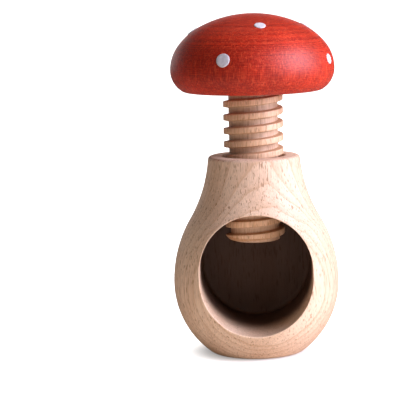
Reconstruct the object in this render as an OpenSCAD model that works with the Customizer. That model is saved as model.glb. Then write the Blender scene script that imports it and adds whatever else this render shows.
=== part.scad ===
// Mushroom screw nutcracker, in millimetres.
// +Z is up. The origin is the centre of the foot, on the floor. The nut chamber opens towards -Y.
// The spindle is drawn part way up, with room for a nut between its end and the chamber floor.

/* [Body] */
// Widest diameter of the pear-shaped body
body_d = 65; // [60:0.5:75]
// Height of the neck rim above the floor
body_h = 77.8; // [74:0.2:86]
// Height of the widest part of the belly
belly_h = 28; // [24:0.5:32]
// Radius of the convex curve above the belly
belly_r = 49; // [44:0.5:56]
// Diameter of the neck at its rim
neck_d = 36; // [33:0.5:40]
// Radius of the hollow curve between belly and neck
neck_curve_r = 55; // [45:0.5:70]
// Diameter of the flat foot
foot_d = 33.4; // [28:0.2:38]
// Radius of the rounded edge round the foot
foot_edge_r = 3.8; // [2:0.1:6]
// Radius of the rounded outer edge of the rim
rim_edge_r = 1.4; // [0.4:0.1:1.4]

/* [Nut chamber] */
// Width of the round nut chamber
chamber_w = 43.6; // [38:0.2:46]
// How much higher than wide the nut chamber is
chamber_rise = 2.6; // [0:0.1:5]
// Height of the chamber floor above the foot
chamber_floor = 10.8; // [9:0.1:12]
// Wall between the flat back of the chamber and the widest part of the body
back_wall = 14.5; // [13:0.5:20]

/* [Screw] */
// Outer diameter of the wooden screw
screw_d = 23.4; // [22:0.1:25]
// Diameter at the root of the thread
screw_root_d = 19.2; // [18:0.1:20]
// Rise of the thread in one turn
pitch = 5.25; // [4.8:0.05:6]
// Width of a thread ridge at its crest, as a share of the pitch
crest_share = 0.46; // [0.4:0.01:0.5]
// Width of a thread ridge at its root, as a share of the pitch
root_share = 0.6; // [0.54:0.01:0.64]
// Turns of thread between the neck rim and the underside of the cap
turns_shown = 4.82; // [4.4:0.01:5]
// Gap between the screw and the thread cut in the neck
thread_gap = 0.45; // [0.3:0.05:0.6]
// Distance from the end of the screw to the chamber floor
nut_room = 33.4; // [28:0.2:38]

/* [Cap] */
// Widest diameter of the cap
cap_d = 64; // [60:0.5:70]
// Radius of the side of the cap
cap_side_r = 15.65; // [14:0.05:18]
// Radius between the side and the top of the cap
cap_shoulder_r = 26; // [23:0.5:30]
// Diameter of the flat underside of the cap
cap_under_d = 53.5; // [50:0.1:56]
// Height of the widest part of the cap above its underside
cap_wide_h = 8.5; // [7:0.1:10]
// Diameter of the tenon glued into the cap
tenon_d = 17; // [15:0.5:18]
// Length of the tenon
tenon_h = 11; // [9:0.5:13]
// Diameter of the dowel hidden on the axis
dowel_d = 8; // [6:0.5:9]
// Length of the dowel
dowel_h = 24; // [20:0.5:26]

/* [Spots] */
// Diameter of each white spot in the lower ring
low_spot_d = [5.5, 4.2, 5.2, 5]; // [4:0.1:8]
// Diameter of each white spot in the upper ring
high_spot_d = [4.5, 4.2, 4.6, 4.7]; // [3:0.1:7]
// Thickness of a spot
spot_t = 0.35; // [0.2:0.05:0.6]
// Turn of each lower spot about the axis, from the front
low_turns = [-20.5, 69, 161, 249]; // [-180:0.5:360]
// Lean of the surface above level at each lower spot
low_leans = [19.5, 14.5, 18, 16.5]; // [5:0.5:35]
// Turn of each upper spot about the axis, from the front
high_turns = [10, 99, 187, 268]; // [-180:0.5:360]
// Lean of the surface above level at each upper spot
high_leans = [65, 60, 66, 55]; // [45:0.5:75]

/* [Hidden] */
$fn = 96;
spots_in_ring = 4;

beech = [0.85, 0.74, 0.62];
screw_beech = [0.76, 0.58, 0.42];
cap_red = [0.72, 0.10, 0.06];
spot_white = [0.93, 0.93, 0.93];

// Overlap that keeps a cutting tool clear of the face it starts from
clear = 1;
// Overlap between the slices of an outline, always on the slice that curves further inwards
lap = 0.3;

// Body outline: three tangent arcs and the foot edge, as centres [radius from the axis, height]
body_r = body_d / 2;
neck_r = neck_d / 2;
foot_r = foot_d / 2;
belly_c = [body_r - belly_r, belly_h];
rim_p = [neck_r, body_h];
reach = belly_r + neck_curve_r;
rim_v = rim_p - belly_c;
rim_dist = norm(rim_v);
along = (reach * reach - neck_curve_r * neck_curve_r + rim_dist * rim_dist) / (2 * rim_dist);
across = sqrt(reach * reach - along * along);
rim_u = rim_v / rim_dist;
neck_c = belly_c + along * rim_u + across * [rim_u[1], -rim_u[0]];
belly_top = belly_c + belly_r / reach * (neck_c - belly_c);

foot_side = body_r - foot_r;
foot_rise = belly_h - foot_edge_r;
low_r = (foot_side * foot_side + foot_rise * foot_rise - foot_edge_r * foot_edge_r)
  / (2 * (foot_side - foot_edge_r));
low_c = [body_r - low_r, belly_h];
foot_c = [foot_r, foot_edge_r];
foot_top = low_c + low_r / (low_r - foot_edge_r) * (foot_c - low_c);

rim_z = body_h - rim_edge_r;
rim_reach = neck_curve_r + rim_edge_r;
rim_c = [neck_c[0] - sqrt(pow(rim_reach, 2) - pow(neck_c[1] - rim_z, 2)), rim_z];
rim_low = rim_c + rim_edge_r / rim_reach * (neck_c - rim_c);

// Chamber: two level bores one above the other
chamber_r = chamber_w / 2;
chamber_back = body_r - back_wall;
chamber_low_z = chamber_floor + chamber_r;
chamber_high_z = chamber_low_z + chamber_rise;
chamber_top = chamber_high_z + chamber_r;

// Screw
screw_r = screw_d / 2;
root_r = screw_root_d / 2;
end_z = chamber_floor + nut_room;
cap_z = body_h + turns_shown * pitch;
steps = 36;
ridge_depth = 0.6;
// Turns by which the ridge line leads the height of the cap at angle 0
ridge_lead = 0.54;
end_bevel = 3.4;
lead_in = 0.35;

// Cap outline: side, shoulder and top arcs above the widest line, one arc below it
cap_r = cap_d / 2;
cap_under = cap_r - cap_under_d / 2;
cap_lower_r = (cap_wide_h * cap_wide_h + cap_under * cap_under) / (2 * cap_under);
cap_wide_z = cap_z + cap_wide_h;
side_end = 37.6;
shoulder_end = 63.6;
side_c = [cap_r - cap_side_r, cap_wide_z];
shoulder_c = side_c - (cap_shoulder_r - cap_side_r) * [cos(side_end), sin(side_end)];
top_r = cap_shoulder_r + shoulder_c[0] / cos(shoulder_end);
top_c = [0, shoulder_c[1] - (top_r - cap_shoulder_r) * sin(shoulder_end)];
socket_play = 0.05;
dowel_play = 0.06;
dowel_z = cap_z - 6;

// Half-plane outline of the body
module body_outline() {
  square([foot_r, foot_top[1] + lap]);
  intersection() {
    translate(foot_c) circle(foot_edge_r);
    translate([foot_r / 2, 0]) square([foot_r, foot_top[1] + lap]);
  }
  intersection() {
    translate(low_c) circle(low_r);
    translate([0, foot_top[1]]) square([body_r + clear, belly_h - foot_top[1] + lap]);
  }
  intersection() {
    translate(belly_c) circle(belly_r);
    translate([0, belly_h]) square([body_r + clear, belly_top[1] - belly_h + lap]);
  }
  difference() {
    translate([0, belly_top[1]]) square([belly_top[0], rim_low[1] - belly_top[1]]);
    translate(neck_c) circle(neck_curve_r);
  }
  translate([0, rim_low[1] - lap]) square([rim_c[0], body_h - rim_low[1] + lap]);
  intersection() {
    translate(rim_c) circle(rim_edge_r);
    translate([rim_c[0] - lap, rim_low[1] - lap]) square([rim_edge_r * 2, body_h - rim_low[1] + lap]);
  }
}

// Helical ridge from radius r0 to r1 that reaches from below z0 to above z1
module ridge(r0, r1, w0, w1, z0, z1) {
  first = floor((z0 - cap_z) / pitch - 1) * steps;
  last = ceil((z1 - cap_z) / pitch + 1) * steps;
  section = [[r0, -w0 / 2], [r1, -w1 / 2], [r1, w1 / 2], [r0, w0 / 2]];
  points = [
    for (i = [first : last], p = section)
      [
        p[0] * cos(i * 360 / steps),
        p[0] * sin(i * 360 / steps),
        cap_z + (i / steps + ridge_lead) * pitch + p[1]
      ]
  ];
  n = last - first;
  sides = [
    for (i = [0 : n - 1], k = [0 : 3], t = [0, 1])
      let (a = 4 * i + k, b = 4 * i + (k + 1) % 4)
      t == 0 ? [a, b + 4, a + 4] : [a, b, b + 4]
  ];
  ends = [[2, 1, 0], [3, 2, 0], [4 * n, 4 * n + 1, 4 * n + 2], [4 * n, 4 * n + 2, 4 * n + 3]];
  polyhedron(points, concat(sides, ends), convexity = 20);
}

// Turned body with the blind nut chamber and the thread cut down its neck
module body() {
  nut_r = root_r + thread_gap;
  nut_out = screw_r + thread_gap;
  flank_gap = thread_gap * 1.4;
  color(beech) difference() {
    rotate([0, 0, -90]) rotate_extrude() body_outline();
    for (z = [chamber_low_z, chamber_high_z])
      translate([0, chamber_back, z]) rotate([90, 0, 0]) cylinder(body_r * 2, r = chamber_r);
    translate([-chamber_r, chamber_back - body_r * 2, chamber_low_z])
      cube([chamber_w, body_r * 2, chamber_rise]);
    translate([0, 0, chamber_top - chamber_r / 2])
      cylinder(body_h - chamber_top + chamber_r / 2 + clear, r = nut_r);
    translate([0, 0, body_h - (nut_out - nut_r) - lead_in])
      cylinder(nut_out - nut_r + 2 * lead_in, nut_r, nut_out + lead_in);
    ridge(nut_r - ridge_depth, nut_out, root_share * pitch + flank_gap,
      crest_share * pitch + flank_gap, chamber_top - chamber_r / 4, body_h);
  }
}

// Wooden screw with its bevelled end, the tenon for the cap and the hole for the dowel
module spindle() {
  color(screw_beech) difference() {
    union() {
      intersection() {
        union() {
          translate([0, 0, end_z - clear]) cylinder(cap_z - end_z + 2 * clear, r = root_r);
          ridge(root_r - ridge_depth, screw_r, root_share * pitch, crest_share * pitch, end_z, cap_z);
        }
        rotate_extrude() polygon([
          [0, end_z],
          [screw_r - end_bevel, end_z],
          [screw_r - end_bevel / 3, end_z + end_bevel / 4],
          [screw_r + clear, end_z + end_bevel],
          [screw_r + clear, cap_z],
          [0, cap_z]
        ]);
      }
      translate([0, 0, cap_z - clear]) cylinder(tenon_h + clear, d = tenon_d);
    }
    translate([0, 0, dowel_z - clear]) cylinder(dowel_h, d = dowel_d + 2 * dowel_play);
  }
}

// Half-plane outline of the cap above its underside, grown outwards by t
module cap_outline(t) {
  side_p = side_c + (cap_side_r + t) * [cos(side_end), sin(side_end)];
  shoulder_p = shoulder_c + (cap_shoulder_r + t) * [cos(shoulder_end), sin(shoulder_end)];
  translate([0, cap_z]) square([cap_r - cap_lower_r, side_p[1] - cap_z + lap]);
  intersection() {
    translate([cap_r - cap_lower_r, cap_wide_z]) circle(cap_lower_r + t);
    translate([cap_r / 2, cap_z]) square([cap_r, cap_wide_h + lap]);
  }
  intersection() {
    translate(side_c) circle(cap_side_r + t);
    translate([cap_r / 2, cap_wide_z]) square([cap_r, side_p[1] - cap_wide_z + lap]);
  }
  intersection() {
    translate(shoulder_c) circle(cap_shoulder_r + t);
    translate([0, side_p[1]]) square([cap_r + clear, shoulder_p[1] - side_p[1] + lap]);
  }
  intersection() {
    translate(top_c) circle(top_r + t);
    translate([0, shoulder_p[1]]) square([cap_r + clear, top_r]);
  }
}

// Turned mushroom cap with the blind socket for tenon and dowel
module cap() {
  color(cap_red) difference() {
    rotate_extrude() cap_outline(0);
    translate([0, 0, cap_z - clear])
      cylinder(tenon_h + socket_play + clear, d = tenon_d + 2 * socket_play);
    translate([0, 0, dowel_z]) cylinder(dowel_h + 2 * dowel_play, d = dowel_d + 2 * dowel_play);
  }
}

// Round dowel on the axis, inside spindle and cap
module cap_dowel() {
  color(beech) translate([0, 0, dowel_z]) cylinder(dowel_h, d = dowel_d);
}

// White spot of diameter d, turned about +Z and leaning with the surface of the cap
module spot(d, turn, lean) {
  centre = lean < side_end ? side_c : lean < shoulder_end ? shoulder_c : top_c;
  arc_r = lean < side_end ? cap_side_r : lean < shoulder_end ? cap_shoulder_r : top_r;
  color(spot_white) difference() {
    intersection() {
      rotate_extrude() cap_outline(spot_t);
      rotate([0, 0, turn - 90])
        translate([centre[0], 0, centre[1]])
          rotate([0, 90 - lean, 0])
            translate([0, 0, arc_r - d / 2]) cylinder(d, d = d);
    }
    rotate_extrude() cap_outline(0);
  }
}

body();
spindle();
cap();
cap_dowel();
for (i = [1 : spots_in_ring]) {
  spot(low_spot_d[i - 1], low_turns[i - 1], low_leans[i - 1]);
  spot(high_spot_d[i - 1], high_turns[i - 1], high_leans[i - 1]);
}
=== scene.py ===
"""Looks of the mushroom screw nutcracker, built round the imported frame.

Shapes are drawn in millimetres and brought to metres as they are finished.
"""

import math

import bmesh
import bpy
from mathutils import Matrix, Vector
from mathutils.bvhtree import BVHTree


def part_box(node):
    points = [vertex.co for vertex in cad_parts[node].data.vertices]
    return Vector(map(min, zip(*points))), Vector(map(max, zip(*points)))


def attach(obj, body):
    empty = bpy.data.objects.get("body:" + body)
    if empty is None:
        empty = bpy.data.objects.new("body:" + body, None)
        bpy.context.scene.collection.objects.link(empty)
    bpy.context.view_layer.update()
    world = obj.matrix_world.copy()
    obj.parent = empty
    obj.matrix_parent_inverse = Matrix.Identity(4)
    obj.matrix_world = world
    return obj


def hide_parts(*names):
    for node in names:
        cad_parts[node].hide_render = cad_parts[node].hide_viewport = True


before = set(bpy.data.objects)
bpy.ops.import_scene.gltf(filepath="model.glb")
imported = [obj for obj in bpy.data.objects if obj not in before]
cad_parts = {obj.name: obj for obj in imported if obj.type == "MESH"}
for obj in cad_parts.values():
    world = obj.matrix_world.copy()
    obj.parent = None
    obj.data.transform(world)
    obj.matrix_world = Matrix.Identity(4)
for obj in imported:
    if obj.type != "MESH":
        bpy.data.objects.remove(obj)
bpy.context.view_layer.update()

MM = 0.001
UP = (0.0, 0.0, 1.0)
TURNS = 192  # facets round a turned piece


def top_of(node):
    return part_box(node)[1].z / MM


def foot_of(node):
    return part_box(node)[0].z / MM


# ---------------------------------------------------------------- camera
camera_data = bpy.data.cameras.new("camera")
camera_data.sensor_width = 36.0
camera_data.lens = 161.62
camera_data.clip_start = 0.05
camera_data.clip_end = 60.0
camera = bpy.data.objects.new("camera", camera_data)
bpy.context.scene.collection.objects.link(camera)
CAMERA_PLACE = (0.0, -0.700, 0.1564)
CAMERA_PITCH = 7.804
CAMERA_YAW = 1.762
CAMERA_ROLL = -1.381
camera.matrix_world = (
    Matrix.Translation(CAMERA_PLACE)
    @ Matrix.Rotation(math.radians(CAMERA_YAW), 4, "Z")
    @ Matrix.Rotation(math.radians(90.0 - CAMERA_PITCH), 4, "X")
    @ Matrix.Rotation(math.radians(CAMERA_ROLL), 4, "Z")
)
bpy.context.scene.camera = camera
bpy.context.scene.view_settings.view_transform = "Standard"


# ---------------------------------------------------------------- sizes shared by the turned pieces
BODY_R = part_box("body")[1].x / MM
BODY_TOP = top_of("body")
CAP_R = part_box("cap")[1].x / MM
CAP_FOOT = foot_of("cap")
CAP_TOP = top_of("cap")
SCREW_END = foot_of("spindle")
PITCH = 5.25
SCREW_R = 11.7
ROOT_R = 9.6
THREAD_GAP = 0.45
RIDGE_LEAD = 0.54 * PITCH
CREST_W = 0.46 * PITCH
RIDGE_ROOT_W = 0.60 * PITCH
CHAMBER_R = 21.8
CHAMBER_LOW = 32.6
CHAMBER_HIGH = 35.2
CHAMBER_MID = (CHAMBER_LOW + CHAMBER_HIGH) / 2
CHAMBER_BACK = 18.0
TENON_R, TENON_H = 8.5, 11.0
DOWEL_R = 4.06
DOWEL_BELOW, DOWEL_ABOVE = 7.0, 18.12  # reach of the dowel's hole from the underside of the cap


# ---------------------------------------------------------------- drawing with the mesh operators
def line_to(bm, end, x, z, pieces=1):
    """Draws a straight run of an outline on from its loose end and gives back the new end."""
    step = (Vector((x, 0.0, z)) - end.co) / pieces
    for _ in range(pieces):
        end = bmesh.ops.extrude_vert_indiv(bm, verts=[end])["verts"][0]
        bmesh.ops.translate(bm, verts=[end], vec=step)
    return end


def arc_to(bm, end, centre, degrees, pieces):
    """Draws an arc of an outline on from its loose end, anticlockwise where degrees is above zero."""
    made = bmesh.ops.spin(
        bm,
        geom=[end],
        cent=(centre[0], 0.0, centre[1]),
        axis=(0.0, 1.0, 0.0),
        dvec=(0.0, 0.0, 0.0),
        angle=-math.radians(degrees),
        steps=pieces,
        use_merge=False,
        use_duplicate=False,
    )
    return [g for g in made["geom_last"] if isinstance(g, bmesh.types.BMVert)][0]


def turn_on_lathe(bm, facets=TURNS):
    """Spins an outline a full turn about the upright axis."""
    bmesh.ops.spin(
        bm,
        geom=bm.verts[:] + bm.edges[:],
        cent=(0.0, 0.0, 0.0),
        axis=UP,
        dvec=(0.0, 0.0, 0.0),
        angle=2.0 * math.pi,
        steps=facets,
        use_merge=True,
        use_duplicate=False,
    )
    bmesh.ops.remove_doubles(bm, verts=bm.verts, dist=0.0005)


def ring_in_order(edges):
    """The vertices of one closed ring of edges, in order."""
    left = set(edges)
    edge = left.pop()
    ring = [edge.verts[0], edge.verts[1]]
    while True:
        onward = [e for e in ring[-1].link_edges if e in left]
        if not onward:
            return ring
        left.discard(onward[0])
        vert = onward[0].other_vert(ring[-1])
        if vert is ring[0]:
            return ring
        ring.append(vert)


def edges_of(ring):
    """The edges between neighbours of a closed ring."""
    found = []
    for i, vert in enumerate(ring):
        after = ring[(i + 1) % len(ring)]
        found.append(next(e for e in vert.link_edges if e.other_vert(vert) is after))
    return found


def grow(bm, ring, place):
    """Extrudes a closed ring by one row and puts vertex i of the new row at place(i)."""
    made = bmesh.ops.extrude_edge_only(bm, edges=edges_of(ring))["geom"]
    fresh = {g for g in made if isinstance(g, bmesh.types.BMVert)}
    row = []
    for vert in ring:
        row.append(next(e.other_vert(vert) for e in vert.link_edges if e.other_vert(vert) in fresh))
    for i, vert in enumerate(row):
        vert.co = place(i)
    return row


def even_turns(ring, turn_of):
    """The turn of each vertex of a ring about the middle of a hole, evened out along the ring."""
    turns = [turn_of(vert.co) for vert in ring]
    for i in range(1, len(turns)):
        while turns[i] - turns[i - 1] > math.pi:
            turns[i] -= 2.0 * math.pi
        while turns[i] - turns[i - 1] < -math.pi:
            turns[i] += 2.0 * math.pi
    whole = math.copysign(2.0 * math.pi, turns[-1] - turns[0])
    for _ in range(400):
        before = [turns[-1] - whole] + turns[:-1]
        after = turns[1:] + [turns[0] + whole]
        turns = [0.5 * t + 0.25 * (b + a) for t, b, a in zip(turns, before, after)]
    return turns


def open_hole(bm, inside, turn_of, place, near, onto):
    """Opens a hole in a surface: drops the faces inside it, then settles an even ring round it.

    inside(co) says whether a face goes, place(turn) is the ring's place, near(co) says which
    vertices relax towards it, and onto(co) brings a point back to the surface.
    """
    doomed = {f for f in bm.faces if inside(f.calc_center_median())}
    edge_set = {e for f in doomed for e in f.edges}
    border = [e for e in edge_set if sum(f in doomed for f in e.link_faces) == 1]
    bmesh.ops.delete(bm, geom=list(doomed), context="FACES")
    ring = ring_in_order(border)
    turns = even_turns(ring, turn_of)
    for vert, turn in zip(ring, turns):
        vert.co = place(turn)
    fixed = set(ring)
    loose = [v for v in bm.verts if v not in fixed and near(v.co)]
    for _ in range(12):
        bmesh.ops.smooth_vert(
            bm, verts=loose, factor=0.5, use_axis_x=True, use_axis_y=True, use_axis_z=True
        )
        for vert in loose:
            vert.co = onto(vert.co)
    return ring, turns


def finish_piece(bm, name, body, slot, material, *nodes, smooth_below=35.0):
    """Makes a piece of the drawn mesh, brings it to metres and puts it on its body."""
    bmesh.ops.remove_doubles(bm, verts=bm.verts, dist=0.0005)
    bmesh.ops.recalc_face_normals(bm, faces=bm.faces)
    bmesh.ops.scale(bm, vec=(MM, MM, MM), verts=bm.verts)
    mesh = bpy.data.meshes.new(name)
    for face in bm.faces:
        face.smooth = True
    bm.to_mesh(mesh)
    bm.free()
    mesh.set_sharp_from_angle(angle=math.radians(smooth_below))
    mesh.materials.append(material)
    piece = bpy.data.objects.new(name, mesh)
    bpy.context.scene.collection.objects.link(piece)
    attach(piece, body)
    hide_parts(*nodes)
    return piece


def bend(start, corner, end, share):
    """A point of the soft curve from start to end that turns at corner."""
    return start * (1 - share) ** 2 + corner * 2 * share * (1 - share) + end * share**2


# ---------------------------------------------------------------- shader groups
def new_group(name, inputs, outputs):
    """A shader node group with its named sockets; inputs are (name, kind, default)."""
    group = bpy.data.node_groups.new(name, "ShaderNodeTree")
    for label, kind, default in inputs:
        socket = group.interface.new_socket(name=label, in_out="INPUT", socket_type=kind)
        if default is not None:
            socket.default_value = default
    for label, kind in outputs:
        group.interface.new_socket(name=label, in_out="OUTPUT", socket_type=kind)
    source = group.nodes.new("NodeGroupInput")
    sink = group.nodes.new("NodeGroupOutput")
    return group, source.outputs, sink.inputs


def add_node(tree, kind, settings=None, **links):
    """A node with its settings, and its inputs either linked or set; i2 is the input at place 2."""
    node = tree.nodes.new(kind)
    for key, value in (settings or {}).items():
        setattr(node, key, value)
    for key, value in links.items():
        socket = node.inputs[int(key[1:])] if key[0] == "i" and key[1:].isdigit() else node.inputs[key]
        if isinstance(value, bpy.types.NodeSocket):
            tree.links.new(value, socket)
        else:
            socket.default_value = value
    return node


def maths(tree, operation, a, b=0.0):
    return add_node(tree, "ShaderNodeMath", {"operation": operation}, i0=a, i1=b).outputs[0]


def steps_between(tree, value, low, high, out_low=0.0, out_high=1.0):
    """Value eased from low to high."""
    node = add_node(
        tree,
        "ShaderNodeMapRange",
        {"interpolation_type": "SMOOTHSTEP"},
        i0=value,
        i1=low,
        i2=high,
        i3=out_low,
        i4=out_high,
    )
    return node.outputs[0]


def blend_colours(tree, share, a, b, mode="MIX"):
    node = tree.nodes.new("ShaderNodeMix")
    node.data_type = "RGBA"
    node.blend_type = mode
    for place, value in ((0, share), (6, a), (7, b)):
        if isinstance(value, bpy.types.NodeSocket):
            tree.links.new(value, node.inputs[place])
        else:
            node.inputs[place].default_value = value
    return node.outputs[2]


def stretched_noise(tree, vector, scale, size, detail=2.0, roughness=0.5):
    """Noise whose grains are stretched by the three numbers of scale, per millimetre."""
    squeezed = add_node(
        tree, "ShaderNodeVectorMath", {"operation": "MULTIPLY"}, i0=vector, i1=scale
    ).outputs[0]
    return add_node(
        tree, "ShaderNodeTexNoise", Vector=squeezed, Scale=size, Detail=detail, Roughness=roughness
    ).outputs["Fac"]


def growth_group():
    """Growth rings, pores, rays and fibre of a blank of beech whose grain runs along Z."""
    g, given, out = new_group(
        "beech_growth",
        [
            ("Vector", "NodeSocketVector", None),
            ("Ring Spacing", "NodeSocketFloat", 2.4),
        ],
        [
            ("Ring", "NodeSocketFloat"),
            ("Season", "NodeSocketFloat"),
            ("Fleck", "NodeSocketFloat"),
            ("Fibre", "NodeSocketFloat"),
            ("Cloud", "NodeSocketFloat"),
        ],
    )
    at = given["Vector"]
    sway = stretched_noise(g, at, (1.0, 1.0, 0.35), 0.045, 2.0)
    sway = maths(g, "MULTIPLY", maths(g, "SUBTRACT", sway, 0.5), 5.5)
    ripple = stretched_noise(g, at, (1.0, 1.0, 0.25), 0.35, 2.0)
    ripple = maths(g, "MULTIPLY", maths(g, "SUBTRACT", ripple, 0.5), 0.55)
    wander = maths(g, "ADD", sway, ripple)
    parts = add_node(g, "ShaderNodeSeparateXYZ", Vector=at).outputs
    flat = add_node(g, "ShaderNodeCombineXYZ", X=parts[0], Y=parts[1], Z=0.0).outputs[0]
    reach = add_node(g, "ShaderNodeVectorMath", {"operation": "LENGTH"}, i0=flat).outputs["Value"]
    years = maths(g, "DIVIDE", maths(g, "ADD", reach, wander), given["Ring Spacing"])
    uneven = add_node(
        g, "ShaderNodeTexNoise", {"noise_dimensions": "1D"}, W=years, Scale=0.6, Detail=1.0
    ).outputs["Fac"]
    years = maths(g, "ADD", years, maths(g, "MULTIPLY", uneven, 1.3))
    year = maths(g, "FRACT", years)
    late = maths(g, "POWER", year, 5.0)
    after = steps_between(g, year, 0.0, 0.07, 1.0, 0.0)
    g.links.new(maths(g, "MAXIMUM", late, after), out["Ring"])
    g.links.new(year, out["Season"])
    small = stretched_noise(g, at, (1.0, 1.0, 0.09), 2.6, 1.0, 0.4)
    large = stretched_noise(g, at, (1.0, 1.0, 0.12), 1.6, 1.0, 0.4)
    small = steps_between(g, small, 0.63, 0.70)
    large = steps_between(g, large, 0.64, 0.70)
    g.links.new(maths(g, "MAXIMUM", maths(g, "MULTIPLY", small, 0.7), large), out["Fleck"])
    coarse = stretched_noise(g, at, (1.0, 1.0, 0.09), 2.1, 2.0, 0.6)
    fine = stretched_noise(g, at, (1.0, 1.0, 0.05), 5.5, 2.0, 0.6)
    fibre = maths(g, "ADD", maths(g, "MULTIPLY", coarse, 0.65), maths(g, "MULTIPLY", fine, 0.35))
    g.links.new(fibre, out["Fibre"])
    g.links.new(stretched_noise(g, at, (1.0, 1.0, 0.4), 0.08, 3.0, 0.55), out["Cloud"])
    return g


def lathe_group():
    """Faint rings left by turning, about the upright axis, and the fine scratches of sanding."""
    g, given, out = new_group(
        "lathe_marks",
        [("Vector", "NodeSocketVector", None), ("Spacing", "NodeSocketFloat", 0.5)],
        [("Marks", "NodeSocketFloat"), ("Sanding", "NodeSocketFloat")],
    )
    parts = add_node(g, "ShaderNodeSeparateXYZ", Vector=given["Vector"]).outputs
    flat = add_node(g, "ShaderNodeCombineXYZ", X=parts[0], Y=parts[1], Z=0.0).outputs[0]
    reach = add_node(g, "ShaderNodeVectorMath", {"operation": "LENGTH"}, i0=flat).outputs["Value"]
    run = maths(g, "DIVIDE", maths(g, "ADD", parts[2], maths(g, "MULTIPLY", reach, 0.7)), given["Spacing"])
    rings = add_node(
        g, "ShaderNodeTexNoise", {"noise_dimensions": "1D"}, W=run, Scale=1.0, Detail=3.0, Roughness=0.6
    ).outputs["Fac"]
    g.links.new(rings, out["Marks"])
    g.links.new(stretched_noise(g, given["Vector"], (1.0, 1.0, 7.0), 0.5, 3.0, 0.7), out["Sanding"])
    return g


def place_group():
    """Object coordinates in millimetres, with the distances from the axis and the chamber's wall."""
    g, given, out = new_group(
        "place_in_mm",
        [("Object", "NodeSocketVector", None)],
        [
            ("Place", "NodeSocketVector"),
            ("From Axis", "NodeSocketFloat"),
            ("Depth", "NodeSocketFloat"),
            ("From Chamber", "NodeSocketFloat"),
        ],
    )
    scaled = add_node(
        g, "ShaderNodeVectorMath", {"operation": "MULTIPLY"}, i0=given["Object"], i1=(1000.0,) * 3
    ).outputs[0]
    parts = add_node(g, "ShaderNodeSeparateXYZ", Vector=scaled).outputs
    flat = add_node(g, "ShaderNodeCombineXYZ", X=parts[0], Y=parts[1], Z=0.0).outputs[0]
    reach = add_node(g, "ShaderNodeVectorMath", {"operation": "LENGTH"}, i0=flat).outputs["Value"]
    g.links.new(scaled, out["Place"])
    g.links.new(reach, out["From Axis"])
    g.links.new(parts[1], out["Depth"])
    below = maths(g, "MAXIMUM", maths(g, "SUBTRACT", CHAMBER_LOW, parts[2]), 0.0)
    above = maths(g, "MAXIMUM", maths(g, "SUBTRACT", parts[2], CHAMBER_HIGH), 0.0)
    section = add_node(g, "ShaderNodeCombineXYZ", X=parts[0], Y=maths(g, "ADD", below, above)).outputs[0]
    span = add_node(g, "ShaderNodeVectorMath", {"operation": "LENGTH"}, i0=section).outputs["Value"]
    g.links.new(maths(g, "SUBTRACT", span, CHAMBER_R), out["From Chamber"])
    return g


GROWTH = growth_group()
LATHE = lathe_group()
PLACE = place_group()


def use_group(tree, group, **links):
    node = tree.nodes.new("ShaderNodeGroup")
    node.node_tree = group
    for key, value in links.items():
        socket = node.inputs[key.replace("_", " ")]
        if isinstance(value, bpy.types.NodeSocket):
            tree.links.new(value, socket)
        else:
            socket.default_value = value
    return node.outputs


def start_material(name, roughness):
    material = bpy.data.materials.new(name)
    material.use_nodes = True
    tree = material.node_tree
    shader = tree.nodes["Principled BSDF"]
    shader.inputs["Roughness"].default_value = roughness
    where = tree.nodes.new("ShaderNodeTexCoord").outputs["Object"]
    return material, tree, shader, use_group(tree, PLACE, Object=where)


def from_pith(tree, place, pith, lean):
    """Coordinates whose Z axis is the pith of the tree, so that rings are circles about it."""
    return add_node(
        tree,
        "ShaderNodeMapping",
        {"vector_type": "TEXTURE"},
        Vector=place,
        Location=(pith[0], pith[1], 0.0),
        Rotation=(math.radians(lean[0]), math.radians(lean[1]), 0.0),
    ).outputs[0]


def bumped(tree, shader, height, distance, strength=1.0):
    node = add_node(tree, "ShaderNodeBump", Height=height, Distance=distance, Strength=strength)
    tree.links.new(node.outputs[0], shader.inputs["Normal"])


def beech_material(name, pale, mid, ring_dark, fleck_dark, pith, lean, spacing, ring_share, fleck_share):
    """Fine-sanded beech: growth rings, pores and fibre over a slowly changing ground."""
    material, tree, shader, place = start_material(name, 0.55)
    grain = use_group(
        tree, GROWTH, Vector=from_pith(tree, place["Place"], pith, lean), Ring_Spacing=spacing
    )
    marks = use_group(tree, LATHE, Vector=place["Place"], Spacing=0.45)
    ground = blend_colours(tree, steps_between(tree, grain["Cloud"], 0.3, 0.7), pale, mid)
    season = maths(tree, "MULTIPLY", grain["Season"], 0.35)
    ground = blend_colours(tree, season, ground, mid)
    ring = maths(tree, "MULTIPLY", grain["Ring"], ring_share)
    ground = blend_colours(tree, ring, ground, ring_dark)
    fibre = steps_between(tree, grain["Fibre"], 0.36, 0.64, 0.88, 1.08)
    ground = blend_colours(tree, 1.0, ground, fibre, "MULTIPLY")
    fleck = maths(tree, "MULTIPLY", grain["Fleck"], fleck_share)
    ground = blend_colours(tree, fleck, ground, fleck_dark)
    rough = maths(tree, "ADD", maths(tree, "MULTIPLY", grain["Fleck"], 0.15), 0.5)
    rough = maths(tree, "ADD", rough, maths(tree, "MULTIPLY", grain["Fibre"], 0.1))
    tree.links.new(rough, shader.inputs["Roughness"])
    height = maths(tree, "MULTIPLY", grain["Fibre"], 0.5)
    height = maths(tree, "SUBTRACT", height, maths(tree, "MULTIPLY", grain["Fleck"], 0.6))
    height = maths(tree, "ADD", height, maths(tree, "MULTIPLY", marks["Marks"], 0.3))
    bumped(tree, shader, height, 0.00006, 0.8)
    return material, tree, shader, place, ground


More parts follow.
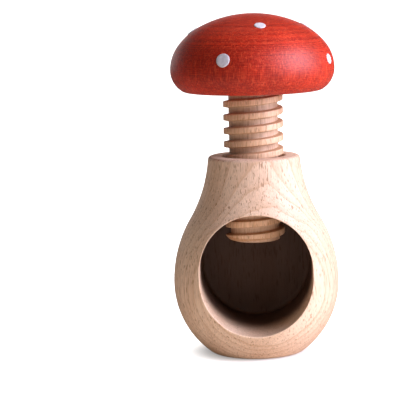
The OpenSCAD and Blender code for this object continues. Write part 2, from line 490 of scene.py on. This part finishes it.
def body_beech():
    """The pale body, with painted shade darkening the chamber's wall to near black towards its back."""
    material, tree, shader, place, ground = beech_material(
        "pale_beech",
        (0.80, 0.605, 0.445, 1),
        (0.72, 0.51, 0.355, 1),
        (0.50, 0.27, 0.13, 1),
        (0.30, 0.155, 0.075, 1),
        (-10.6, 70.0),
        (0.6, -1.2),
        2.35,
        0.46,
        0.72,
    )
    # Painted shade: the chamber's wall blends towards near black the deeper it lies.
    bore = steps_between(tree, place["From Chamber"], 0.02, 0.25, 1.0, 0.0)
    bore = maths(tree, "MULTIPLY", bore, steps_between(tree, place["Depth"], 18.1, 18.5, 1.0, 0.0))
    deep = maths(tree, "MULTIPLY", bore, steps_between(tree, place["Depth"], -20.0, 1.0))
    deep = maths(tree, "MULTIPLY", deep, 0.94)
    ground = blend_colours(tree, deep, ground, (0.045, 0.013, 0.004, 1))
    tree.links.new(ground, shader.inputs["Base Color"])
    return material


def screw_beech():
    """The warmer screw, with painted shade darkening the root and the flanks of its thread."""
    material, tree, shader, place, ground = beech_material(
        "screw_beech",
        (0.78, 0.545, 0.365, 1),
        (0.66, 0.42, 0.255, 1),
        (0.44, 0.22, 0.095, 1),
        (0.24, 0.11, 0.045, 1),
        (38.0, -46.0),
        (1.5, 1.0),
        1.9,
        0.4,
        0.6,
    )
    reach = place["From Axis"]
    # Painted shade: the root of the thread and the flanks of the ridges are darkened where the ridges
    # shade each other.
    root_shade = steps_between(tree, reach, 9.66, 9.9, 1.0, 0.0)
    above_root = steps_between(tree, reach, 9.62, 9.8)
    below_crest = steps_between(tree, reach, 11.5, 11.68, 1.0, 0.0)
    flank_shade = maths(tree, "MULTIPLY", above_root, below_crest)
    ground = blend_colours(tree, maths(tree, "MULTIPLY", root_shade, 0.4), ground, (0.44, 0.31, 0.235, 1))
    ground = blend_colours(tree, maths(tree, "MULTIPLY", flank_shade, 0.55), ground, (0.36, 0.16, 0.06, 1))
    tree.links.new(ground, shader.inputs["Base Color"])
    return material


def red_stain():
    """Red stain under a satin varnish, with the grain and the turning marks showing through."""
    material, tree, shader, place = start_material("red_stain", 0.38)
    grain = use_group(
        tree, GROWTH, Vector=from_pith(tree, place["Place"], (-18.0, 62.0), (2.0, 3.0)), Ring_Spacing=2.6
    )
    marks = use_group(tree, LATHE, Vector=place["Place"], Spacing=0.32)
    deep, bright = (0.25, 0.005, 0.0015, 1), (0.60, 0.032, 0.007, 1)
    turned = steps_between(tree, marks["Marks"], 0.35, 0.65)
    upright = steps_between(tree, grain["Fibre"], 0.38, 0.62)
    weave = maths(
        tree, "ADD", maths(tree, "MULTIPLY", upright, 0.55), maths(tree, "MULTIPLY", turned, 0.45)
    )
    ground = blend_colours(tree, weave, deep, bright)
    ring = maths(tree, "MULTIPLY", grain["Ring"], 0.3)
    ground = blend_colours(tree, ring, ground, (0.24, 0.006, 0.003, 1))
    broken = maths(tree, "ADD", maths(tree, "MULTIPLY", upright, 0.6), 0.4)
    crossed = maths(tree, "MULTIPLY", steps_between(tree, marks["Sanding"], 0.5, 0.62), broken)
    light = maths(
        tree,
        "MAXIMUM",
        maths(tree, "MULTIPLY", grain["Fleck"], 0.5),
        maths(tree, "MULTIPLY", crossed, 0.5),
    )
    ground = blend_colours(tree, light, ground, (0.80, 0.10, 0.035, 1))
    cloud = steps_between(tree, grain["Cloud"], 0.3, 0.7, 0.84, 1.12)
    ground = blend_colours(tree, 1.0, ground, cloud, "MULTIPLY")
    tree.links.new(ground, shader.inputs["Base Color"])
    shader.inputs["Specular IOR Level"].default_value = 0.15
    shader.inputs["Coat Weight"].default_value = 0.5
    shader.inputs["Coat Roughness"].default_value = 0.44
    rough = maths(tree, "ADD", maths(tree, "MULTIPLY", weave, 0.12), 0.42)
    tree.links.new(rough, shader.inputs["Roughness"])
    bumped(tree, shader, maths(tree, "ADD", weave, maths(tree, "MULTIPLY", light, 0.6)), 0.00006, 0.8)
    return material


def white_paint():
    """Thick white paint, a little uneven in shade and gloss."""
    material, tree, shader, place = start_material("white_paint", 0.42)
    noise = add_node(tree, "ShaderNodeTexNoise", Vector=place["Place"], Scale=0.9, Detail=3.0)
    patch = noise.outputs["Fac"]
    ground = blend_colours(
        tree, steps_between(tree, patch, 0.35, 0.65), (0.60, 0.59, 0.62, 1), (0.70, 0.69, 0.72, 1)
    )
    tree.links.new(ground, shader.inputs["Base Color"])
    tree.links.new(steps_between(tree, patch, 0.3, 0.7, 0.36, 0.5), shader.inputs["Roughness"])
    bumped(tree, shader, patch, 0.00008, 0.6)
    return material


BEECH = body_beech()
SCREW = screw_beech()
RED = red_stain()
WHITE = white_paint()


def angle_from(centre, point):
    """Degrees from the outward direction to the line from centre to point."""
    return math.degrees(math.atan2(point[1] - centre[1], point[0] - centre[0]))


class BodyOutline:
    """The tangent arcs of the pear-shaped outline, as centres (radius from the axis, height)."""

    belly_r, neck_r, foot_edge_r, rim_r = 49.0, 55.0, 3.8, 1.4
    belly_h, foot_r, neck_end_r = 28.0, 16.7, 18.0

    def __init__(self):
        self.belly = Vector((BODY_R - self.belly_r, self.belly_h))
        rim = Vector((self.neck_end_r, BODY_TOP))
        away = rim - self.belly
        reach = self.belly_r + self.neck_r
        along = (reach**2 - self.neck_r**2 + away.length**2) / (2 * away.length)
        across = math.sqrt(reach**2 - along**2)
        unit = away.normalized()
        self.neck = self.belly + along * unit + across * Vector((unit.y, -unit.x))
        self.belly_end = self.belly + self.belly_r / reach * (self.neck - self.belly)
        side = BODY_R - self.foot_r
        rise = self.belly_h - self.foot_edge_r
        self.low_r = (side**2 + rise**2 - self.foot_edge_r**2) / (2 * (side - self.foot_edge_r))
        self.low = Vector((BODY_R - self.low_r, self.belly_h))
        self.foot = Vector((self.foot_r, self.foot_edge_r))
        self.foot_end = self.low + self.low_r / (self.low_r - self.foot_edge_r) * (self.foot - self.low)
        rim_z = BODY_TOP - self.rim_r
        rim_reach = self.neck_r + self.rim_r
        self.rim = Vector(
            (self.neck.x - math.sqrt(rim_reach**2 - (self.neck.y - rim_z) ** 2), rim_z)
        )
        self.rim_start = self.rim + self.rim_r / rim_reach * (self.neck - self.rim)

    def radius(self, z):
        """Radius of the outside at height z, between the foot and the rim."""
        if z < self.foot_end.y:
            return self.foot.x + math.sqrt(max(self.foot_edge_r**2 - (z - self.foot.y) ** 2, 0.0))
        if z < self.belly_h:
            return self.low.x + math.sqrt(self.low_r**2 - (z - self.low.y) ** 2)
        if z < self.belly_end.y:
            return self.belly.x + math.sqrt(self.belly_r**2 - (z - self.belly.y) ** 2)
        return self.neck.x - math.sqrt(self.neck_r**2 - (z - self.neck.y) ** 2)


def thread_rows(bm, low, high, root_r, crest_r, root_w, crest_w, facets):
    """Sweeps one turn of a right-hand thread, repeats it and cuts it level at low and high.

    The ridge stands out from root_r to crest_r, with its corners worn round.
    """
    turns_below = math.ceil((CAP_FOOT + RIDGE_LEAD - low) / PITCH) + 1
    base = CAP_FOOT + RIDGE_LEAD - turns_below * PITCH
    turns = math.ceil((high - base) / PITCH) + 2
    outward = 1.0 if crest_r > root_r else -1.0
    wear = 0.34
    soft = wear * outward
    end = bm.verts.new((root_r, 0.0, base - PITCH / 2))
    end = line_to(bm, end, root_r, base - root_w / 2 - 0.12, 2)
    end = line_to(bm, end, root_r + 0.06 * outward, base - root_w / 2)
    end = line_to(bm, end, crest_r - soft, base - crest_w / 2 - 0.03, 4)
    end = line_to(bm, end, crest_r - soft * 0.3, base - crest_w / 2 + 0.09)
    end = line_to(bm, end, crest_r, base - crest_w / 2 + wear)
    end = line_to(bm, end, crest_r, base + crest_w / 2 - wear, 4)
    end = line_to(bm, end, crest_r - soft * 0.3, base + crest_w / 2 - 0.09)
    end = line_to(bm, end, crest_r - soft, base + crest_w / 2 + 0.03)
    end = line_to(bm, end, root_r + 0.06 * outward, base + root_w / 2, 4)
    end = line_to(bm, end, root_r, base + root_w / 2 + 0.12)
    line_to(bm, end, root_r, base + PITCH / 2, 2)
    bmesh.ops.spin(
        bm,
        geom=bm.verts[:] + bm.edges[:],
        cent=(0.0, 0.0, 0.0),
        axis=UP,
        dvec=(0.0, 0.0, PITCH / facets),
        angle=2.0 * math.pi,
        steps=facets,
        use_merge=False,
        use_duplicate=False,
    )
    first_turn = bm.verts[:] + bm.edges[:] + bm.faces[:]
    for k in range(1, turns):
        copied = bmesh.ops.duplicate(bm, geom=first_turn)["geom"]
        raised = [g for g in copied if isinstance(g, bmesh.types.BMVert)]
        bmesh.ops.translate(bm, verts=raised, vec=(0.0, 0.0, PITCH * k))
    bmesh.ops.remove_doubles(bm, verts=bm.verts, dist=0.004)
    for z, clear in ((low, "clear_inner"), (high, "clear_outer")):
        bmesh.ops.bisect_plane(
            bm,
            geom=bm.verts[:] + bm.edges[:] + bm.faces[:],
            dist=0.0005,
            plane_co=(0.0, 0.0, z),
            plane_no=UP,
            **{clear: True},
        )


def loop_at(bm, z, within=None):
    """The open edges that lie level at height z, closer to the axis than within."""
    found = []
    for edge in bm.edges:
        if len(edge.link_faces) != 1:
            continue
        a, b = edge.verts[0].co, edge.verts[1].co
        if abs(a.z - z) < 0.01 and abs(b.z - z) < 0.01:
            if within is None or max(a.xy.length, b.xy.length) < within:
                found.append(edge)
    return found


def add_mesh_of(bm, other):
    """Puts the mesh drawn in other into bm and frees other."""
    carrier = bpy.data.meshes.new("carrier")
    other.to_mesh(carrier)
    other.free()
    bm.from_mesh(carrier)
    bpy.data.meshes.remove(carrier)


# ---------------------------------------------------------------- body
def stadium(turn, radius):
    """Point (x, z) of the chamber's section grown to radius, seen from its middle at that turn."""
    c, s = math.cos(turn), math.sin(turn)
    half = (CHAMBER_HIGH - CHAMBER_LOW) / 2
    if abs(c) > 1e-9 and abs(radius * s / c) <= half:
        t = radius / abs(c)
    else:
        t = half * abs(s) + math.sqrt(radius**2 - (half * c) ** 2)
    return t * c, CHAMBER_MID + t * s


def beyond_chamber(x, z):
    """Distance from the chamber's wall, below zero inside it."""
    nearest = min(max(z, CHAMBER_LOW), CHAMBER_HIGH)
    return math.hypot(x, z - nearest) - CHAMBER_R


def build_body():
    """The turned body, with the chamber bored into its front and the thread cut down its neck."""
    shape = BodyOutline()
    cleared, relaxed = 2.6, 6.0  # how far round the chamber's mouth the skin is cut and settled
    sleeve_end_r = 14.0
    bore_r = SCREW_R + THREAD_GAP + 0.05
    throat = BODY_TOP - 1.3
    bm = bmesh.new()
    end = bm.verts.new((0.0, 0.0, 0.0))
    end = line_to(bm, end, shape.foot_r, 0.0, 8)
    turn = angle_from(shape.foot, shape.foot_end)
    end = arc_to(bm, end, shape.foot, turn + 90.0, 8)
    end = arc_to(bm, end, shape.low, -angle_from(shape.low, shape.foot_end), 34)
    end = arc_to(bm, end, shape.belly, angle_from(shape.belly, shape.belly_end), 38)
    start = angle_from(shape.neck, shape.belly_end) % 360.0
    stop = angle_from(shape.neck, shape.rim_start) % 360.0
    end = arc_to(bm, end, shape.neck, stop - start, 30)
    end = arc_to(bm, end, shape.rim, 90.0 - angle_from(shape.rim, shape.rim_start), 6)
    end = line_to(bm, end, bore_r + 0.55, BODY_TOP, 5)
    end = line_to(bm, end, bore_r + 0.2, BODY_TOP - 0.12)
    end = line_to(bm, end, bore_r, BODY_TOP - 0.5)
    line_to(bm, end, bore_r, throat)
    turn_on_lathe(bm)

    def on_outside(co):
        return Vector((co.x, -math.sqrt(max(shape.radius(co.z) ** 2 - co.x**2, 0.01)), co.z))

    def outside_at(turn, grown):
        x, z = stadium(turn, CHAMBER_R + grown)
        return on_outside(Vector((x, 0.0, z)))

    ring, turns = open_hole(
        bm,
        lambda co: co.y < 0 and beyond_chamber(co.x, co.z) < cleared,
        lambda co: math.atan2(co.z - CHAMBER_MID, co.x),
        lambda turn: outside_at(turn, cleared),
        lambda co: co.y < 0 and beyond_chamber(co.x, co.z) < relaxed,
        on_outside,
    )
    for grown in (2.0, 1.4, 0.95):
        ring = grow(bm, ring, lambda i: outside_at(turns[i], grown))
    soft = 0.62
    rolls = 6
    for k in range(rolls + 1):
        share = k / rolls

        def lip(i):
            corner = outside_at(turns[i], 0.0)
            return bend(
                outside_at(turns[i], soft), corner, corner + Vector((0.0, soft, 0.0)), share
            )

        ring = grow(bm, ring, lip)
    mouth = [vert.co.copy() for vert in ring]
    rows = 28
    end_r = 1.6
    for k in range(1, rows + 1):
        share = k / rows
        ring = grow(
            bm,
            ring,
            lambda i: Vector(
                (mouth[i].x, mouth[i].y + (CHAMBER_BACK - end_r - mouth[i].y) * share, mouth[i].z)
            ),
        )
    for k in range(1, 6):
        quarter = math.radians(90.0) * k / 5

        def corner_row(i):
            x, z = stadium(turns[i], CHAMBER_R - end_r * (1 - math.cos(quarter)))
            return Vector((x, CHAMBER_BACK - end_r + end_r * math.sin(quarter), z))

        ring = grow(bm, ring, corner_row)
    for share in (0.82, 0.64, 0.46, 0.28, 0.12):

        def back_row(i):
            x, z = stadium(turns[i], CHAMBER_R - end_r)
            return Vector((x * share, CHAMBER_BACK, CHAMBER_MID + (z - CHAMBER_MID) * share))

        ring = grow(bm, ring, back_row)
    bmesh.ops.edgeloop_fill(bm, edges=edges_of(ring))

    def on_ceiling(co):
        return Vector((co.x, co.y, CHAMBER_HIGH + math.sqrt(max(CHAMBER_R**2 - co.x**2, 0.01))))

    def ceiling_at(turn, grown):
        radius = bore_r + grown
        return on_ceiling(Vector((radius * math.cos(turn), radius * math.sin(turn), 0.0)))

    def in_chamber_roof(co, grown):
        return (
            CHAMBER_HIGH + 2.0 < co.z < CHAMBER_HIGH + CHAMBER_R + 0.1
            and co.xy.length < bore_r + grown
            and abs(beyond_chamber(co.x, co.z)) < 0.2
        )

    ring, turns = open_hole(
        bm,
        lambda co: in_chamber_roof(co, 1.5),
        lambda co: math.atan2(co.y, co.x),
        lambda turn: ceiling_at(turn, 1.5),
        lambda co: in_chamber_roof(co, 3.0),
        on_ceiling,
    )
    soft = 0.4
    for k in range(5):
        share = k / 4

        def roof_lip(i):
            corner = ceiling_at(turns[i], 0.0)
            return bend(ceiling_at(turns[i], soft), corner, corner + Vector((0.0, 0.0, soft)), share)

        ring = grow(bm, ring, roof_lip)
    roof_top = CHAMBER_HIGH + CHAMBER_R + 1.0
    for share in (0.5, 1.0):
        low = [vert.co.copy() for vert in ring]
        ring = grow(
            bm,
            ring,
            lambda i: Vector((low[i].x, low[i].y, low[i].z + (roof_top - low[i].z) * share)),
        )
    sleeve = bmesh.new()
    gap = THREAD_GAP * 1.4
    thread_rows(
        sleeve,
        roof_top + 0.3,
        throat - 0.3,
        ROOT_R + THREAD_GAP,
        SCREW_R + THREAD_GAP,
        RIDGE_ROOT_W + gap,
        CREST_W + gap,
        96,
    )
    add_mesh_of(bm, sleeve)
    for a, b in ((roof_top, roof_top + 0.3), (throat, throat - 0.3)):
        rims = loop_at(bm, a, sleeve_end_r) + loop_at(bm, b, sleeve_end_r)
        bmesh.ops.bridge_loops(bm, edges=rims)
    return bm


finish_piece(build_body(), "turned_body", "housing", "beech", BEECH, "body")


# ---------------------------------------------------------------- spindle
def build_spindle():
    """The threaded screw with its bevelled end, and the tenon with the dowel's hole in it."""
    nose_h, nose_r = 0.5, 8.3
    bevel_h, bevel_r, slope = 0.85, 10.57, 0.82
    bevel_top = 3.6
    bm = bmesh.new()
    thread_rows(bm, SCREW_END + nose_h, CAP_FOOT, ROOT_R, SCREW_R, RIDGE_ROOT_W, CREST_W, 128)
    for vert in bm.verts:
        rise = vert.co.z - SCREW_END
        if rise >= bevel_top:
            continue
        if rise < bevel_h:
            limit = nose_r + (bevel_r - nose_r) * rise / bevel_h
        else:
            limit = bevel_r + (rise - bevel_h) * slope
        reach = vert.co.xy.length
        if reach > limit:
            vert.co.x *= limit / reach
            vert.co.y *= limit / reach
    ends = bmesh.new()
    end = ends.verts.new((0.0, 0.0, SCREW_END))
    end = line_to(ends, end, 7.9, SCREW_END, 5)
    end = line_to(ends, end, 8.5, SCREW_END + 0.12)
    line_to(ends, end, 9.1, SCREW_END + 0.35)
    end = ends.verts.new((0.0, 0.0, CAP_FOOT - DOWEL_BELOW))
    end = line_to(ends, end, DOWEL_R, CAP_FOOT - DOWEL_BELOW)
    end = line_to(ends, end, DOWEL_R, CAP_FOOT + TENON_H, 3)
    end = line_to(ends, end, TENON_R, CAP_FOOT + TENON_H)
    line_to(ends, end, TENON_R, CAP_FOOT + 0.2, 2)
    turn_on_lathe(ends, 128)
    add_mesh_of(bm, ends)
    for a, b in ((SCREW_END + 0.35, SCREW_END + nose_h), (CAP_FOOT + 0.2, CAP_FOOT)):
        bmesh.ops.bridge_loops(bm, edges=loop_at(bm, a) + loop_at(bm, b))
    return bm


finish_piece(build_spindle(), "wooden_screw", "rotor", "screw_beech", SCREW, "spindle")


# ---------------------------------------------------------------- cap
class CapOutline:
    """The arcs of the mushroom cap, as centres (radius from the axis, height)."""

    side_r, shoulder_r, wide_h, under_r = 15.65, 26.0, 8.5, 26.75
    side_end, shoulder_end = 37.6, 63.6

    def __init__(self):
        wide = CAP_FOOT + self.wide_h
        under = CAP_R - self.under_r
        self.lower_r = (self.wide_h**2 + under**2) / (2 * under)
        self.lower = Vector((CAP_R - self.lower_r, wide))
        self.side = Vector((CAP_R - self.side_r, wide))
        turn = math.radians(self.side_end)
        self.shoulder = self.side - (self.shoulder_r - self.side_r) * Vector(
            (math.cos(turn), math.sin(turn))
        )
        turn = math.radians(self.shoulder_end)
        self.top_r = self.shoulder_r + self.shoulder.x / math.cos(turn)
        self.top = Vector((0.0, self.shoulder.y - (self.top_r - self.shoulder_r) * math.sin(turn)))

    def point(self, turn, lean):
        """Surface point and outward direction at a turn from the front and a lean above level."""
        if lean < self.side_end:
            centre, radius = self.side, self.side_r
        elif lean < self.shoulder_end:
            centre, radius = self.shoulder, self.shoulder_r
        else:
            centre, radius = self.top, self.top_r
        level = Vector((math.sin(math.radians(turn)), -math.cos(math.radians(turn)), 0.0))
        out = level * math.cos(math.radians(lean)) + Vector(UP) * math.sin(math.radians(lean))
        return level * centre.x + Vector((0.0, 0.0, centre.y)) + out * radius, out


CAP = CapOutline()


def build_cap():
    """The turned cap, with the socket for the tenon and the hole for the dowel under it."""
    edge_r = 0.9
    bm = bmesh.new()
    end = bm.verts.new((0.0, 0.0, CAP.top.y + CAP.top_r))
    end = arc_to(bm, end, CAP.top, CAP.shoulder_end - 90.0, 22)
    end = arc_to(bm, end, CAP.shoulder, CAP.side_end - CAP.shoulder_end, 16)
    end = arc_to(bm, end, CAP.side, -CAP.side_end, 16)
    stop = angle_from(CAP.lower, (CAP.under_r, CAP_FOOT))
    end = arc_to(bm, end, CAP.lower, stop + 6.0, 16)
    edge_start = Vector((end.co.x, end.co.z))
    edge_corner = Vector((CAP.under_r + 0.15, CAP_FOOT))
    edge_end = Vector((CAP.under_r - edge_r, CAP_FOOT))
    for k in range(1, 5):
        at = bend(edge_start, edge_corner, edge_end, k / 4)
        end = line_to(bm, end, at.x, at.y)
    end = line_to(bm, end, TENON_R + 0.05, CAP_FOOT, 14)
    end = line_to(bm, end, TENON_R + 0.05, CAP_FOOT + TENON_H + 0.05, 2)
    end = line_to(bm, end, DOWEL_R, CAP_FOOT + TENON_H + 0.05)
    end = line_to(bm, end, DOWEL_R, CAP_FOOT + DOWEL_ABOVE, 2)
    line_to(bm, end, 0.0, CAP_FOOT + DOWEL_ABOVE)
    turn_on_lathe(bm)
    return bm


cap_mesh = build_cap()
cap_skin = BVHTree.FromBMesh(cap_mesh)
finish_piece(cap_mesh, "mushroom_cap", "rotor", "red_stain", RED, "cap")

# ---------------------------------------------------------------- spots
SPOT_T = 0.33
# node, turn from the front, lean above level (degrees) and radius
SPOTS = (
    ("spot_low_1", -20.5, 19.5, 2.72),
    ("spot_low_2", 69.0, 14.5, 2.07),
    ("spot_low_3", 161.0, 18.0, 2.57),
    ("spot_low_4", 249.0, 16.5, 2.47),
    ("spot_high_1", 10.0, 65.0, 2.22),
    ("spot_high_2", 99.0, 60.0, 2.07),
    ("spot_high_3", 187.0, 66.0, 2.27),
    ("spot_high_4", 268.0, 55.0, 2.32),
)


def build_spot(turn, lean, radius, seed):
    """A dab of paint that follows the cap, thickest just inside its rounded edge."""
    middle, out = CAP.point(turn, lean)
    across = out.cross(Vector(UP)).normalized()
    upward = across.cross(out)
    bm = bmesh.new()
    bmesh.ops.create_circle(bm, cap_ends=True, radius=0.08 * radius, segments=40)
    ring = ring_in_order([e for e in bm.edges if len(e.link_faces) == 1])
    turns = [math.atan2(vert.co.y, vert.co.x) for vert in ring]

    def uneven(a):
        return 1 + 0.012 * math.sin(2 * a + seed) + 0.009 * math.sin(3 * a + 2.3 * seed) - 0.018

    for share in (0.25, 0.45, 0.62, 0.76, 0.86, 0.92, 0.96, 0.985, 1.0):
        ring = grow(
            bm,
            ring,
            lambda i: Vector(
                (
                    radius * share * uneven(turns[i]) * math.cos(turns[i]),
                    radius * share * uneven(turns[i]) * math.sin(turns[i]),
                    0.0,
                )
            ),
        )
    rim = set(ring)
    for vert in bm.verts:
        flat = vert.co.copy()
        share = flat.xy.length / radius
        start = middle + across * flat.x + upward * flat.y + out * 2.0
        hit = cap_skin.ray_cast(start, -out)[0]
        height = 0.0
        if share < 1 and vert not in rim:
            height = SPOT_T * (1.0 - share**7) ** 0.5 * (0.86 + 0.14 * share**2)
        vert.co = hit + out * height
    ring = grow(bm, ring, lambda i: ring[i].co - out * 0.06)
    bmesh.ops.edgeloop_fill(bm, edges=edges_of(ring))
    return bm


for number, (node, turn, lean, radius) in enumerate(SPOTS):
    finish_piece(
        build_spot(turn, lean, radius, 1.7 * number),
        "paint_" + node,
        "rotor",
        "white_paint",
        WHITE,
        node,
        smooth_below=60.0,
    )

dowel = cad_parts["cap_dowel"]
dowel.data.materials.clear()
dowel.data.materials.append(BEECH)


# ---------------------------------------------------------------- studio
def floor_material():
    """A pale floor, white to the camera through a painted glow that is weaker near the piece, painting
    shade round its foot.
    """
    material, tree, shader, place = start_material("pale_floor", 0.9)
    noise = add_node(tree, "ShaderNodeTexNoise", Vector=place["Place"], Scale=0.02, Detail=2.0)
    shade = blend_colours(tree, noise.outputs["Fac"], (0.60, 0.60, 0.60, 1), (0.62, 0.62, 0.62, 1))
    path = tree.nodes.new("ShaderNodeLightPath").outputs
    seen = path["Is Camera Ray"]
    # Painted warm bounce: rays other than the camera's see a warmer floor, so it throws warm light onto
    # the piece.
    shade = blend_colours(tree, seen, (0.80, 0.68, 0.57, 1), shade)
    # Painted dim reflection: glossy rays see the floor dark, so it shows little in the varnish.
    shade = blend_colours(tree, path["Is Glossy Ray"], shade, (0.22, 0.20, 0.18, 1))
    tree.links.new(shade, shader.inputs["Base Color"])
    shader.inputs["Specular IOR Level"].default_value = 0.0
    lifted = tree.nodes.new("ShaderNodeAddShader")
    painted_glow = add_node(tree, "ShaderNodeEmission", Color=(1.0, 1.0, 1.0, 1.0))
    # Painted glow seen by the camera alone: weak close to the piece and strong further out, so it paints a
    # ring of shade round the foot.
    away = steps_between(tree, place["From Axis"], 17.0, 32.0, 0.3, 1.2)
    tree.links.new(maths(tree, "MULTIPLY", seen, away), painted_glow.inputs["Strength"])
    tree.links.new(shader.outputs[0], lifted.inputs[0])
    tree.links.new(painted_glow.outputs[0], lifted.inputs[1])
    tree.links.new(lifted.outputs[0], tree.nodes["Material Output"].inputs["Surface"])
    return material


floor_mesh = bmesh.new()
bmesh.ops.create_grid(floor_mesh, x_segments=4, y_segments=4, size=1.2)
floor_data = bpy.data.meshes.new("floor")
floor_mesh.to_mesh(floor_data)
floor_mesh.free()
floor_data.materials.append(floor_material())
floor = bpy.data.objects.new("floor", floor_data)
bpy.context.scene.collection.objects.link(floor)


def soft_light(name, place, aim, width, height, watts, colour):
    """A rectangular soft light at a place, turned to its aim."""
    data = bpy.data.lights.new(name, "AREA")
    data.shape = "RECTANGLE"
    data.size = width
    data.size_y = height
    data.energy = watts
    data.color = colour
    lamp = bpy.data.objects.new(name, data)
    bpy.context.scene.collection.objects.link(lamp)
    lamp.location = place
    lamp.rotation_euler = (Vector(aim) - Vector(place)).to_track_quat("-Z", "Y").to_euler()
    return lamp


MIDDLE = (0.0, 0.0, 0.06)


def around(turn, rise, distance):
    """A place at a turn to the right of the front, an angle above level and a distance."""
    turn, rise = math.radians(turn), math.radians(rise)
    level = distance * math.cos(rise)
    return (level * math.sin(turn), -level * math.cos(turn), MIDDLE[2] + distance * math.sin(rise))


soft_light("key", around(68, 26, 0.9), MIDDLE, 0.7, 0.7, 15.5, (0.97, 0.95, 1.17))
overhead = soft_light("overhead", (0.1, 0.75, 1.25), MIDDLE, 1.0, 1.0, 10.7, (1.03, 0.91, 0.78))
soft_light("back", (-0.35, 1.3, 0.28), (0.0, 0.0, 0.11), 1.6, 0.5, 2.5, (1.0, 1.0, 1.0))
card = soft_light("card", (0.0, -0.1, 0.002), (0.0, -0.028, 0.008), 0.24, 0.05, 0.075, (1.0, 0.94, 0.86))
card.visible_camera = False
card.visible_glossy = False
overhead.visible_glossy = False

world = bpy.data.worlds.new("studio")
world.use_nodes = True
bpy.context.scene.world = world
sky = world.node_tree
ground = sky.nodes["Background"]
ground.inputs["Color"].default_value = (1.0, 1.0, 1.0, 1.0)
ground.inputs["Strength"].default_value = 0.08
seen = add_node(sky, "ShaderNodeBackground", Color=(1.0, 1.0, 1.0, 1.0), Strength=1.6)
choice = sky.nodes.new("ShaderNodeMixShader")
sky.links.new(sky.nodes.new("ShaderNodeLightPath").outputs["Is Camera Ray"], choice.inputs[0])
sky.links.new(ground.outputs[0], choice.inputs[1])
sky.links.new(seen.outputs[0], choice.inputs[2])
sky.links.new(choice.outputs[0], sky.nodes["World Output"].inputs["Surface"])
